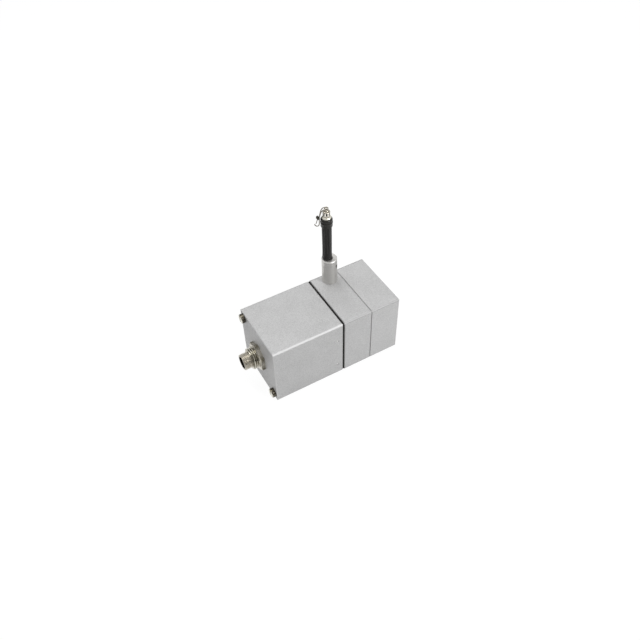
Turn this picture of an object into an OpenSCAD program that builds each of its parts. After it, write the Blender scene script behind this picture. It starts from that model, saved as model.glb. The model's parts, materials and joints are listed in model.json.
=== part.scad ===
// Draw wire encoder: a spring-loaded drum turns an encoder as its wire is pulled out.
// X runs along the body, connector at -X. The wire leaves upwards. Z = 0 is the base.

/* [Housing] */
// Side of the square body
body_w = 50; // [48:1:54]
// Length of the electronics housing
cup_l = 53.7; // [52:0.1:56]
// Thickness of the gasket
gasket_t = 1.3; // [1:0.1:2]
// Length of the drum housing
drum_block_l = 22; // [22:0.5:24]
// Length of the spring housing
spring_block_l = 23; // [22:0.5:26]
// Radius on the long edges
edge_r = 1.8; // [1:0.1:3]
// Wall of the electronics housing
wall = 4.5; // [4:0.1:5]
// Small chamfer round the block ends
end_chamfer = 0.5; // [0.2:0.05:0.6]
// Width of the groove between the two blocks
seam_w = 0.3; // [0.2:0.05:0.5]

/* [Wire and drum] */
// Radius at which the wire lies on the drum
pitch_r = 17.5; // [17:0.1:17.8]
// Radius of the wire
wire_r = 0.25; // [0.2:0.05:0.3]
// Turns of wire on the full drum
wire_turns = 10; // [6:1:10]
// Lead of the winding
wire_lead = 0.69; // [0.65:0.01:0.72]

/* [Outlet] */
// Outside diameter of the outlet tube
tube_d = 11; // [10:0.5:12]
// Height of the tube above the body
tube_h = 21.1; // [20:0.1:22]
// Bore of the tube
tube_bore_d = 4.4; // [4:0.1:4.5]

/* [Wire end] */
// Length of the rubber sleeve outside the tube
sleeve_l = 28.4; // [26:0.1:32]
// Diameter of the sleeve under its cap
sleeve_d = 6.9; // [6.6:0.1:7]
// Diameter of the sleeve cap
cap_d = 8.2; // [8:0.1:8.4]
// Diameter of the swivel barrel
barrel_d = 5.2; // [5:0.1:5.4]

/* [Connector] */
// Diameter of the front thread
front_thread_d = 12; // [12:1:12]
// Diameter of the mounting thread
mount_thread_d = 16; // [16:1:16]
// Width of the hexagon nut across its flats
nut_af = 19; // [18.5:0.5:20]
// Contacts on the outer circle
outer_pins = 7; // [4:1:7]

/* [Encoder] */
// Radius of the code disc
disc_r = 14; // [13:0.5:14]
// Windows in the code disc
windows = 60; // [30:10:72]

/* [Hidden] */
$fn = 64;

fit = 0.02;
eps = 0.5;
axis_z = body_w / 2;
seam_depth = 0.7;
gasket_inset = 0.3;

// Stations along the body
x_end = -(cup_l + gasket_t + drum_block_l + spring_block_l) / 2;
x_gasket = x_end + cup_l;
x_drum = x_gasket + gasket_t;
x_spring = x_drum + drum_block_l;
x_far = x_spring + spring_block_l;

// Housing screws
corner = 20;
m4_r = 2;
m3_r = 1.5;
pillar_r = 4.6;
cavity_w = body_w - 2 * wall;
end_wall = 5;
spigot_l = 8;

// Side pins, in the cup's front wall
side_pin_x = -0.55;
side_pin_z = [10, 35];
side_pin_r = 0.8;
side_pin_recess = 0.5;

// Chambers and bearings
chamber_r = 22;
drum_wall = 4.5;
plate_r = 22.85;
plate_t = 3;
far_wall = 4;
shaft_r = 2.98;
bearing_r = 6.5;
bearing_w = 5;
bearing_x1 = x_drum - 1.5;
bearing_x2 = x_spring - 2;
boss_r = 9.5;
lip_r = 4.8;
ball_r = 0.98;
ball_count = 9;
ball_pitch_r = 4.75;

// Base fixing holes, tapped M4
base_x = [12, 40];
base_y = 14;
base_hole_r = 1.65;
base_hole_l = 6.5;

// Outlet tube and wire line
tube_x = 18.2;
tube_y = 17.8;
tube_top = body_w + tube_h;
spigot_r = 4;
spigot_z = 43.2;
guide_z0 = 44;
guide_z1 = 66;
set_screw_z = 64.8;
set_screw_az = -50;
end_x = 16.95;
end_y = 18.55;

// Stations up the wire end
foot_z = tube_top + 0.05;
sleeve_z = foot_z + sleeve_l;
cap_z = sleeve_z + 0.4;
ferrule_z = cap_z + 6.6;
barrel_z = ferrule_z + 1.6;
barrel_top = barrel_z + 4.1;
eye_z = barrel_top + 2;
stem_r = 1.7;
stem_l = 14.4;

// Clip, drawn in the plane of its own hinge: outward and up from the hinge pin
clip_az = 151.5;
clip_wire_r = 0.34;
gate_wire_r = 0.3;
gate_pin = [5.65, -7.8];
eye_r = 1.07;
eye_wire_r = 0.4;

// Drum
winding_x0 = 14;
winding_x1 = winding_x0 + wire_turns * wire_lead;
core_r = pitch_r - wire_r - 0.15;
flange_r = pitch_r + 2.1;

// Power spring
spring_turns = 8;
spring_t = 0.35;

// Connector
socket_r = 4.4;
shell_front = x_end - 13.3;
front_thread_l = 5.8;
pin_circle_r = 2.75;
pin_r = 0.38;

// Encoder
board_x = -14;
board_t = 1.6;
board_w = 33;
board_hole = 12.5;
disc_x = -4.2;
disc_t = 0.8;

// Steel, rubber and other colours
alu = [0.76, 0.77, 0.78];
nickel = [0.72, 0.68, 0.62];
steel = [0.6, 0.61, 0.63];
black = [0.08, 0.08, 0.09];
brass = [0.78, 0.62, 0.3];

// Places what is drawn about Z on the shaft line, starting at x and running towards +X
module on_shaft(x) {
    translate([x, 0, axis_z]) rotate([0, 90, 0]) children();
}

// The same on a line parallel to the shaft
module along_x(x, y, z) {
    translate([x, y, z]) rotate([0, 90, 0]) children();
}

module rounded_square(w, r) {
    square([w, w - 2 * r], center = true);
    square([w - 2 * r, w], center = true);
    for (sx = [-1, 1], sy = [-1, 1])
        translate([sx * (w / 2 - r), sy * (w / 2 - r)]) circle(r);
}

// Prism along the body with rounded long edges
module bar(x, l, w, r) {
    on_shaft(x) linear_extrude(l) rounded_square(w, r);
}

// Cuts a small chamfer round the face of the body at x
module end_chamfers(x) {
    for (a = [0, 90, 180, 270])
        translate([x, 0, axis_z]) rotate([a, 0, 0]) translate([0, 0, body_w / 2])
            rotate([0, 45, 0])
                cube([end_chamfer * sqrt(2), body_w + 2, end_chamfer * sqrt(2)], center = true);
}

// Cuts the groove round the body that hides the joint at x
module seam_groove(x) {
    on_shaft(x - eps) linear_extrude(eps + seam_w) difference() {
        square(body_w + 2, center = true);
        rounded_square(body_w - 2 * seam_depth, edge_r - seam_depth);
    }
}

// Outline of the cup's inside: a square with a screw pillar in each corner
module cavity_outline(w, relief) {
    difference() {
        rounded_square(w, 3);
        for (sx = [-1, 1], sy = [-1, 1])
            translate([sx * corner, sy * corner]) circle(pillar_r + relief);
    }
}

// The diagonal pair of corners that the long screws use
module at_long_screws(x) {
    for (s = [-1, 1]) along_x(x, s * corner, axis_z + s * corner) children();
}

module at_corners(x, d) {
    for (sy = [-1, 1], sz = [-1, 1]) along_x(x, sy * d, axis_z + sz * d) children();
}

module base_holes(x) {
    for (s = [-1, 1])
        translate([x, s * base_y, -eps]) cylinder(r = base_hole_r, h = base_hole_l + eps);
}

module tube(h, r, bore) {
    difference() {
        cylinder(r = r, h = h);
        translate([0, 0, -eps]) cylinder(r = bore, h = h + 2 * eps);
    }
}

function unit(v) = v / norm(v);

// Cuts each corner of a route once, so that the wire bends instead of folding
function soften(p) = [
    p[0],
    for (i = [0:len(p) - 2]) each [0.75 * p[i] + 0.25 * p[i + 1], 0.25 * p[i] + 0.75 * p[i + 1]],
    p[len(p) - 1]
];

// Ring of points round point i of a route; no stretch may run along Y
function route_ring(p, i, r, sides) =
    let (
        t = unit(p[min(i + 1, len(p) - 1)] - p[max(i - 1, 0)]),
        side = unit(cross(t, [0, 1, 0])),
        up = cross(side, t)
    )
    [for (k = [0:sides - 1]) p[i] + r * (cos(k * 360 / sides) * side + sin(k * 360 / sides) * up)];

// Closed skin over a row of rings, each a list of the same number of points
module skin(rings) {
    sides = len(rings[0]);
    last = len(rings) - 1;
    walls = [
        for (i = [0:last - 1], k = [0:sides - 1])
            let (a = i * sides + k, b = i * sides + (k + 1) % sides)
            [a, b, b + sides, a + sides]
    ];
    start = [for (k = [sides - 1:-1:0]) k];
    end = [for (k = [0:sides - 1]) last * sides + k];
    polyhedron([for (ring = rings) each ring], concat([start], walls, [end]));
}

// Round wire along a route
module wire_along(points, r, sides = 8) {
    p = soften(soften(points));
    skin([for (i = [0:len(p) - 1]) route_ring(p, i, r, sides)]);
}

module electronics_housing() {
    color(alu) difference() {
        bar(x_end, cup_l, body_w, edge_r);
        on_shaft(x_end + end_wall) linear_extrude(cup_l) cavity_outline(cavity_w, 0);
        on_shaft(x_end - eps) cylinder(r = mount_thread_d / 2 + 2 * fit, h = end_wall + 2 * eps);
        on_shaft(x_end + end_wall - 1.3) cylinder(r = 9.6, h = 2);
        at_long_screws(x_end - eps) cylinder(r = m4_r + 0.2, h = cup_l + 2 * eps);
        for (z = side_pin_z)
            translate([side_pin_x, -body_w / 2 - eps, z]) rotate([-90, 0, 0])
                cylinder(r = side_pin_r + fit, h = wall + 3, $fn = 24);
        end_chamfers(x_end);
        end_chamfers(x_gasket);
    }
}

// Pins that lock the cup on the drum housing's spigot
module side_pins() {
    color(steel) for (z = side_pin_z)
        translate([side_pin_x, -body_w / 2 + side_pin_recess, z]) rotate([-90, 0, 0]) {
            cylinder(r1 = side_pin_r - 0.25, r2 = side_pin_r, h = 0.3, $fn = 24);
            translate([0, 0, 0.3]) cylinder(r = side_pin_r, h = 5.9, $fn = 24);
        }
}

module housing_gasket() {
    color(black) on_shaft(x_gasket) linear_extrude(gasket_t) difference() {
        rounded_square(body_w - 2 * gasket_inset, edge_r);
        cavity_outline(cavity_w, 0);
        for (s = [-1, 1]) translate([-s * corner, s * corner]) circle(m4_r + 0.2);
    }
}

module drum_housing() {
    color(alu) difference() {
        union() {
            bar(x_drum, drum_block_l, body_w, edge_r);
            on_shaft(x_drum - spigot_l) linear_extrude(spigot_l + eps) difference() {
                cavity_outline(cavity_w - 0.6, 0.4);
                square(cavity_w - 5.6, center = true);
            }
            on_shaft(x_drum - 2.4) cylinder(r = boss_r, h = 2.4 + eps);
        }
        on_shaft(x_drum + drum_wall) cylinder(r = chamber_r, h = drum_block_l);
        on_shaft(x_spring - plate_t) cylinder(r = plate_r + 2 * fit, h = plate_t + eps);
        on_shaft(x_drum - 2.4 - eps) cylinder(r = bearing_r + fit, h = 2.4 + 3.5 + eps);
        on_shaft(x_drum) cylinder(r = lip_r, h = drum_wall + eps);
        at_long_screws(x_drum - eps) cylinder(r = m4_r + fit, h = 9 + eps);
        at_corners(x_spring - 4.5, corner) cylinder(r = m3_r + fit, h = 5);
        at_corners(x_drum - eps, board_hole) cylinder(r = m3_r + fit, h = 3.8 + eps);
        translate([tube_x, tube_y, 34]) cylinder(r = 2.5, h = body_w - 34 + eps);
        translate([tube_x, tube_y, spigot_z]) cylinder(r = spigot_r + fit, h = body_w);
        base_holes(base_x[0]);
        for (z = side_pin_z)
            translate([side_pin_x, -cavity_w / 2 - eps, z]) rotate([-90, 0, 0])
                cylinder(r = side_pin_r + fit, h = 4, $fn = 24);
        end_chamfers(x_drum);
        end_chamfers(x_spring);
    }
}

module spring_housing() {
    color(alu) difference() {
        bar(x_spring, spring_block_l, body_w, edge_r);
        on_shaft(x_spring - eps) cylinder(r = chamber_r, h = spring_block_l - far_wall + eps);
        on_shaft(x_spring + 3.5) translate([0, 21, 0]) rotate([0, 0, -45]) {
            translate([-1.3, 0, 0]) cube([2.6, 4, 13.5]);
        }
        at_corners(x_spring - eps, corner) cylinder(r = m3_r + 0.2, h = spring_block_l + 2 * eps);
        at_corners(x_far - 3.4, corner) cylinder(r = 3, h = 3.4 + eps);
        base_holes(base_x[1]);
        seam_groove(x_spring);
        end_chamfers(x_far);
    }
}

module bearing_plate() {
    color(alu) difference() {
        union() {
            on_shaft(x_spring - plate_t) cylinder(r = plate_r, h = plate_t);
            on_shaft(x_spring - eps) cylinder(r = 8.5, h = 3.7);
        }
        on_shaft(bearing_x2) cylinder(r = bearing_r + fit, h = 10);
        on_shaft(x_spring - plate_t - eps) cylinder(r = lip_r, h = 2);
    }
}

module outlet_tube() {
    color(alu) translate([tube_x, tube_y, 0]) difference() {
        rotate_extrude() polygon([
            [tube_bore_d / 2, spigot_z], [spigot_r, spigot_z], [spigot_r, body_w],
            [tube_d / 2, body_w], [tube_d / 2, tube_top - 0.5], [tube_d / 2 - 0.5, tube_top],
            [tube_bore_d / 2 + 0.3, tube_top], [tube_bore_d / 2, tube_top - 0.3]
        ]);
        rotate([0, 0, set_screw_az]) translate([0, 0, set_screw_z]) rotate([0, 90, 0])
            cylinder(r = m3_r + fit, h = tube_d, $fn = 32);
    }
}

// Low-friction insert: a straight throat between two funnels
module wire_guide() {
    color("ivory") translate([tube_x, tube_y, 0]) rotate_extrude() polygon([
        [1.9, guide_z0], [tube_bore_d / 2 - fit, guide_z0], [tube_bore_d / 2 - fit, guide_z1],
        [1.9, guide_z1], [0.7, guide_z1 - 6], [0.7, guide_z0 + 4]
    ]);
}

module tube_set_screw() {
    color(black) translate([tube_x, tube_y, set_screw_z]) rotate([0, 0, set_screw_az])
        rotate([0, 90, 0]) difference() {
            translate([0, 0, tube_bore_d / 2 + 0.05]) cylinder(r = m3_r, h = 2.7, $fn = 32);
            translate([0, 0, 3.7]) cylinder(d = 1.7, h = 3, $fn = 6);
        }
}

// Slotted cheese-head screws, M4
module housing_screws() {
    head_h = 2.9;
    color(nickel) at_long_screws(x_end) {
        difference() {
            translate([0, 0, -head_h]) rotate_extrude() polygon([
                [0, 0], [2.6, 0], [3.1, 0.15], [3.4, 0.5], [3.5, 0.9], [3.5, head_h], [0, head_h]
            ]);
            translate([-5, -0.55, -head_h - 1]) cube([10, 1.1, 2.2]);
        }
        cylinder(r = m4_r, h = cup_l + gasket_t + 8.4);
    }
}

module cover_screws() {
    color(steel) at_corners(0, corner) {
        translate([0, 0, x_spring - 4.3]) cylinder(r = m3_r, h = x_far - x_spring + 1, $fn = 32);
        difference() {
            translate([0, 0, x_far - 3.4 + fit]) cylinder(r = 2.75, h = 3);
            translate([0, 0, x_far - 1.8]) cylinder(d = 2.9, h = 3, $fn = 6);
        }
    }
}

// Threads are drawn as plain cylinders at their nominal size
module connector_shell() {
    front_r = front_thread_d / 2;
    mount_r = mount_thread_d / 2;
    color(nickel) difference() {
        on_shaft(0) rotate_extrude() polygon([
            [0, shell_front], [front_r - 0.4, shell_front], [front_r, shell_front + 0.4],
            [front_r, shell_front + front_thread_l], [mount_r - 0.4, shell_front + front_thread_l],
            [mount_r, shell_front + front_thread_l + 0.4], [mount_r, x_end + end_wall + fit],
            [9.8, x_end + end_wall + fit], [9.8, x_end + end_wall + 2], [0, x_end + end_wall + 2]
        ]);
        on_shaft(shell_front - eps) cylinder(r = socket_r, h = 8);
        on_shaft(shell_front + front_thread_l) cylinder(r = 5.6, h = 20);
        along_x(shell_front - eps, 0, axis_z + socket_r + 0.1)
            translate([-1, -0.9, 0]) cube([1.8, 1.8, 1.8]);
    }
}

// Hexagon nut with its corners chamfered at 30 degrees
module connector_nut() {
    nut_t = 3;
    corner_r = nut_af / 2 / cos(30);
    face_r = nut_af / 2 - 0.2;
    color(nickel) on_shaft(x_end - nut_t) difference() {
        intersection() {
            cylinder(r = corner_r, h = nut_t - fit, $fn = 6);
            rotate_extrude() polygon([
                [0, -1], [face_r - 1 / tan(30), -1], [corner_r + 1, (corner_r + 1 - face_r) * tan(30)],
                [corner_r + 1, nut_t + 1], [0, nut_t + 1]
            ]);
        }
        translate([0, 0, -1]) cylinder(r = mount_thread_d / 2 + fit, h = nut_t + 2);
    }
}

module connector_seal() {
    color(black) on_shaft(x_end + end_wall - 1.28) tube(1.26, 9.5, mount_thread_d / 2 + 0.05);
}

module connector_insert() {
    insert_x = shell_front + front_thread_l;
    color(black) difference() {
        union() {
            on_shaft(insert_x + fit) cylinder(r = 5.58, h = 14.6);
            along_x(insert_x - 4.4, 0, axis_z + socket_r - 0.45)
                translate([-0.4, -0.5, 0]) cube([0.8, 1, 4.6]);
        }
        at_pins(insert_x - eps) cylinder(r = pin_r + fit, h = 20, $fn = 24);
    }
}

module at_pins(x) {
    along_x(x, 0, axis_z) {
        children();
        for (i = [0:outer_pins - 1])
            rotate([0, 0, (i + 0.5) * 360 / outer_pins]) translate([-pin_circle_r, 0, 0]) children();
    }
}

module connector_pins() {
    color(brass) at_pins(shell_front + 1.4) {
        cylinder(r1 = 0.15, r2 = pin_r, h = 0.4, $fn = 24);
        translate([0, 0, 0.4]) cylinder(r = pin_r, h = 20.6, $fn = 24);
    }
}

// One ring of a deep-groove bearing, with its ball track cut in
module race(r_in, r_out) {
    rotate_extrude() difference() {
        translate([r_in, 0]) square([r_out - r_in, bearing_w]);
        translate([ball_pitch_r, bearing_w / 2]) circle(ball_r + 0.05, $fn = 32);
    }
}

module bearing_outer_rings() {
    color(steel) for (x = [bearing_x1, bearing_x2]) on_shaft(x) {
        race(5.3, bearing_r - fit);
        for (z = [0.1, bearing_w - 0.4]) translate([0, 0, z]) tube(0.3, 5.3, 4.4);
    }
}

module bearing_balls() {
    color("silver") for (x = [bearing_x1, bearing_x2], i = [1:ball_count])
        on_shaft(x + bearing_w / 2) rotate([0, 0, i * 360 / ball_count])
            translate([ball_pitch_r, 0, 0]) sphere(ball_r, $fn = 24);
}

module bearing_inner_rings() {
    color(steel) for (x = [bearing_x1, bearing_x2]) on_shaft(x) race(shaft_r + fit, 4.2);
}

module shaft_rings() {
    color(black) for (x = [bearing_x1 - 0.75, bearing_x2 + bearing_w + 0.15]) on_shaft(x)
        difference() {
            tube(0.6, 4.4, 2.62);
            translate([0, -0.8, -eps]) cube([6, 1.6, 2]);
        }
}

module drum_shaft() {
    color(steel) difference() {
        on_shaft(-8.2) cylinder(r = shaft_r, h = 52.6);
        for (x = [bearing_x1 - 0.8, bearing_x2 + bearing_w + 0.1]) on_shaft(x) tube(0.7, 5, 2.6);
    }
}

// Spool with a webbed centre; the rim carries the wire between two flanges
module wire_drum() {
    web = [16.4, 18.4];
    rim = [12.2, 22.8];
    color(alu) difference() {
        on_shaft(0) rotate_extrude() polygon([
            [shaft_r + fit, 8.65], [4, 8.65], [4, 10.4], [7, 10.4], [7, web[0]],
            [14.6, web[0]], [14.6, rim[0]], [flange_r, rim[0]], [flange_r, rim[0] + 1],
            [core_r, rim[0] + 1.2], [core_r, rim[1] - 1.2], [flange_r, rim[1] - 1],
            [flange_r, rim[1]], [14.6, rim[1]], [14.6, web[1]], [7, web[1]], [7, 23.4],
            [4, 23.4], [4, 24.85], [shaft_r + fit, 24.85]
        ]);
        for (i = [0:5]) on_shaft(web[0] - eps) rotate([0, 0, i * 60])
            translate([10.8, 0, 0]) cylinder(r = 2.6, h = 3);
        translate([20.9, 0, axis_z]) cylinder(r = m3_r + fit, h = 10);
        translate([winding_x0, 0, axis_z]) rotate([-90, 0, 0])
            cylinder(r = wire_r + 0.1, h = flange_r, $fn = 24);
    }
}

module drum_grub_screw() {
    color(black) translate([20.9, 0, axis_z]) difference() {
        translate([0, 0, shaft_r + 0.06]) cylinder(r = m3_r, h = 3.6, $fn = 32);
        translate([0, 0, 5.4]) cylinder(d = 1.7, h = 3, $fn = 6);
    }
}

// End of the wire inside the rim, held by a pressed ball
module wire_anchor() {
    color(steel) translate([winding_x0, 0, axis_z]) rotate([-90, 0, 0]) {
        translate([0, 0, 13.7]) sphere(0.8, $fn = 24);
        translate([0, 0, 13.7]) cylinder(r = wire_r, h = core_r - 13.7, $fn = 24);
    }
}

// Ring of points round the wire where it crosses the helix at angle a
function coil_ring(a, sides) = [
    for (k = [0:sides - 1])
        let (q = k * 360 / sides, r = pitch_r + wire_r * cos(q))
        [winding_x0 + wire_lead * a / 360 + wire_r * sin(q), r * cos(a), axis_z + r * sin(a)]
];

module wire_winding() {
    steps_per_turn = 28;
    color(steel) skin([
        for (i = [0:wire_turns * steps_per_turn]) coil_ring(i * 360 / steps_per_turn, 6)
    ]);
}

module draw_wire() {
    color(steel) wire_along([
        [winding_x1, pitch_r, axis_z + 0.4], [winding_x1, pitch_r, axis_z + 6],
        [tube_x, tube_y, guide_z0 + 5], [tube_x, tube_y, guide_z1 - 7],
        [end_x, end_y, foot_z + 4], [end_x, end_y, ferrule_z - 2.5]
    ], wire_r);
}

module spring_arbor() {
    color(steel) difference() {
        on_shaft(bearing_x2 + bearing_w + 1) tube(13.2, 4.5, shaft_r + fit);
        on_shaft(bearing_x2 + bearing_w + 0.5) translate([4, -0.3, 0]) cube([2, 0.6, 20]);
    }
}

// Radius of the spring strip after t turns: open inside, closer against the wall
function spring_radius(t) = 4.75 + 16.6 * pow(t / spring_turns, 0.72);

module power_spring() {
    steps = 24 * spring_turns;
    inner = [for (i = [0:steps]) let (a = i * 15, r = spring_radius(i / 24)) [r * cos(a), r * sin(a)]];
    outer = [
        for (i = [steps:-1:0])
            let (a = i * 15, r = spring_radius(i / 24) + spring_t) [r * cos(a), r * sin(a)]
    ];
    color([0.35, 0.4, 0.5]) on_shaft(x_spring + 4) linear_extrude(12.5)
        polygon(concat(inner, outer));
}

module disc_hub() {
    color(brass) on_shaft(0) rotate_extrude() polygon([
        [shaft_r + fit, -7.8], [5.5, -7.8], [6, -7.3], [6, disc_x - fit], [4, disc_x - fit],
        [4, disc_x + disc_t + 1], [shaft_r + fit, disc_x + disc_t + 1]
    ]);
}

module code_disc() {
    track = [10.8, 13.2];
    slot_w = 3.14 * (track[0] + track[1]) / windows / 2;
    color([0.85, 0.87, 0.9]) on_shaft(disc_x) linear_extrude(disc_t) difference() {
        circle(disc_r);
        circle(4 + fit);
        for (i = [0:windows - 1]) rotate(i * 360 / windows)
            translate([track[0], -slot_w / 2]) square([track[1] - track[0], slot_w]);
    }
}

module circuit_board() {
    color([0.1, 0.35, 0.2]) on_shaft(board_x) linear_extrude(board_t) difference() {
        rounded_square(board_w, 2);
        for (sx = [-1, 1], sy = [-1, 1])
            translate([sx * board_hole, sy * board_hole]) circle(1.35, $fn = 32);
    }
}

module board_pillars() {
    pillar_x = board_x + board_t + fit;
    color(brass) at_corners(0, board_hole) difference() {
        union() {
            translate([0, 0, pillar_x]) cylinder(d = 5 / cos(30), h = x_drum - pillar_x - fit, $fn = 6);
            translate([0, 0, x_drum - 1]) cylinder(r = m3_r, h = 4.6, $fn = 32);
        }
        translate([0, 0, pillar_x - eps]) cylinder(r = 1.27, h = 6, $fn = 32);
    }
}

module board_screws() {
    color(steel) at_corners(board_x, board_hole) {
        translate([0, 0, -1.6]) difference() {
            cylinder(r1 = 1.8, r2 = 2.2, h = 1.58, $fn = 32);
            for (a = [0, 90]) rotate([0, 0, a]) translate([-1.2, -0.25, -eps]) cube([2.4, 0.5, 1.3]);
        }
        translate([0, 0, -0.1]) cylinder(r = 1.25, h = 5.5, $fn = 32);
    }
}

// Fork that straddles the rim of the code disc
module read_head() {
    fork_x = board_x + board_t + fit;
    color(black) difference() {
        translate([fork_x, -4, axis_z + 9]) cube([0.4 - fork_x, 8, 8.5]);
        translate([disc_x - 1.2, -5, axis_z + 8]) cube([disc_t + 2.4, 10, 6.7]);
    }
}

module board_parts() {
    color(black) {
        translate([board_x - 1.3, -4, axis_z - 6]) cube([1.28, 7, 7]);
        translate([board_x - 1.5, 6.5, axis_z - 4]) cube([1.48, 4, 5]);
        for (y = [-12, -9, 9]) translate([board_x - 0.8, y, axis_z - 10]) cube([0.78, 1.4, 2.4]);
    }
    color("ivory") translate([board_x - 4.5, -9, axis_z + 6]) cube([4.48, 18, 3]);
}

// Leads from the board's header to the back of each contact
module lead_harness() {
    header_place = [2, 0, 1, 3, 6, 7, 5, 4];
    header_pitch = 2.1;
    back_x = shell_front + 22.5;
    colours = ["red", "blue", "green", "yellow", "white", "brown", "grey", "pink"];
    for (i = [0:outer_pins]) {
        a = (i + 0.5) * 360 / outer_pins;
        r = i == outer_pins ? 0 : pin_circle_r;
        contact = [0, -r * sin(a), r * cos(a)];
        header_y = (header_place[i] - outer_pins / 2) * header_pitch;
        color(colours[i]) wire_along([
            [back_x, 0, axis_z] + contact, [back_x + 6, 0, axis_z] + 1.5 * contact,
            [board_x - 12, header_y, axis_z + 7.5], [board_x - 4.6, header_y, axis_z + 7.5]
        ], 0.45, 6);
    }
}

module at_wire_end(z) {
    translate([end_x, end_y, z]) children();
}

// Rubber stop: a flared foot that rests on the tube, then a slow taper
module rubber_sleeve() {
    foot_r = 3.8;
    bore_r = stem_r + 0.05;
    top = cap_z + 5;
    bead = 1.1;
    arc = [for (a = [-90:20:30]) [foot_r + bead * (cos(a) - 1), foot_z + bead * (1 + sin(a))]];
    color(black) at_wire_end(0) rotate_extrude() polygon(concat(
        [[bore_r, foot_z]], arc,
        [
            [3.35, foot_z + 3], [3.15, foot_z + 5.5], [sleeve_d / 2, sleeve_z],
            [sleeve_d / 2, top], [bore_r, top]
        ]
    ));
}

module sleeve_cap() {
    r = cap_d / 2;
    in_r = sleeve_d / 2 + 0.02;
    color(black) at_wire_end(cap_z) rotate_extrude() polygon([
        [in_r, 0], [r - 0.4, 0], [r, 0.4], [r, 2.6], [r + 0.2, 3], [r + 0.2, 3.8], [r, 4.2],
        [r, 6], [r - 0.3, 6.7], [r - 0.9, 7], [3.1, 6.6], [stem_r + 0.05, 6.5],
        [stem_r + 0.05, 5.02], [in_r, 5.02]
    ]);
}

module ferrule() {
    color([0.85, 0.84, 0.8]) at_wire_end(ferrule_z) rotate_extrude() polygon([
        [0.3, -stem_l], [stem_r - 0.2, -stem_l], [stem_r, 0.2 - stem_l], [stem_r, 0.02],
        [2.6, 0.02], [2.8, 0.3], [2.8, 1.3], [2.6, 1.58], [0, 1.58], [0, -2], [0.3, -2]
    ]);
}

// Hollow barrel that holds the head of the swivel eye
module swivel_barrel() {
    r = barrel_d / 2;
    h = barrel_top - barrel_z;
    dome = [for (a = [0:15:75]) [r - 0.9 + 0.9 * cos(a), h - 0.9 + 0.9 * sin(a)]];
    color(nickel) at_wire_end(barrel_z) rotate_extrude() polygon(concat(
        [[0, 0], [r, 0]], dome, [[0.85, h], [0.85, h - 1.1], [1.6, h - 1.1], [1.6, 0.8], [0, 0.8]]
    ));
}

// Cone and ring over the barrel, on a stem with a head inside it
module swivel_eye() {
    ring_z = eye_z - eye_r + 0.12;
    color(nickel) {
        at_wire_end(barrel_z + 1.4) cylinder(r = 1.45, h = 1.3);
        at_wire_end(0) rotate_extrude() polygon([
            [0, barrel_z + 2.6], [0.75, barrel_z + 2.6], [0.75, barrel_top + 0.1],
            [1.5, barrel_top + 0.1], [1.5, barrel_top + 0.3], [0.5, ring_z], [0, ring_z]
        ]);
        at_wire_end(eye_z) rotate([90, 0, clip_az]) rotate_extrude()
            translate([eye_r, 0]) circle(eye_wire_r, $fn = 32);
    }
}

// Frame of the clip: X outward from its hinge pin, Y along the pin
module clip_frame() {
    at_wire_end(eye_z) rotate([0, 0, clip_az]) children();
}

// Wire hook with two cheeks that carry the gate's pin
module clip_body() {
    bail = 1.25;
    cheek = [0.5, 0.9];
    cheek_r = 0.85;
    back_x = 4.45;
    back_t = 0.35;
    color(nickel) clip_frame() {
        rotate([90, 0, 0]) cylinder(r = clip_wire_r, h = 2 * bail, center = true, $fn = 24);
        for (s = [-1, 1]) {
            wire_along([
                [-0.1, s * bail, 0], [1.9, s * bail, -0.1], [3.4, s * bail, -1.6],
                [4.65, s * 0.6, -6.4]
            ], clip_wire_r);
            translate([0, s > 0 ? cheek[1] : -cheek[0], 0]) rotate([90, 0, 0])
                linear_extrude(cheek[1] - cheek[0]) {
                    translate(gate_pin) circle(cheek_r);
                    translate([back_x, gate_pin[1] - cheek_r])
                        square([gate_pin[0] - back_x, 2 * cheek_r]);
                }
        }
        translate([back_x, -cheek[1], gate_pin[1] - cheek_r])
            cube([back_t, 2 * cheek[1], 2 * cheek_r + 1]);
        translate([gate_pin[0], 0, gate_pin[1]]) rotate([90, 0, 0])
            cylinder(r = 0.32, h = 2 * cheek[1], center = true, $fn = 24);
        wire_along([
            [4.85, 0, -8.5], [4.85, 0, -13.9], [6.2, 0, -14.8], [7.85, 0, -13.9], [7.85, 0, -12.6]
        ], clip_wire_r);
    }
}

// Sprung gate with a curved thumb tab round its hub
module clip_gate() {
    hub_t = 0.8;
    hub_r = 0.6;
    tab = [1, 1.4];
    tab_w = 1.8;
    color(nickel) clip_frame() translate([gate_pin[0], 0, gate_pin[1]]) difference() {
        union() {
            rotate([90, 0, 0]) translate([0, 0, -hub_t / 2]) cylinder(r = hub_r, h = hub_t, $fn = 32);
            wire_along([[0.15, 0, -0.5], [1.4, 0, -4.8]], gate_wire_r);
            rotate([0, -45, 0]) translate([0.4, -hub_t / 2, -0.3]) cube([tab[0] - 0.2, hub_t, 0.6]);
            rotate([90, 0, 0]) linear_extrude(tab_w, center = true) intersection() {
                difference() {
                    circle(tab[1]);
                    circle(tab[0]);
                }
                polygon([[0, 0], [3, 0.5], [3, 3], [-0.5, 3]]);
            }
        }
        rotate([90, 0, 0]) cylinder(r = 0.36, h = 4, center = true, $fn = 24);
    }
}

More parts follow.
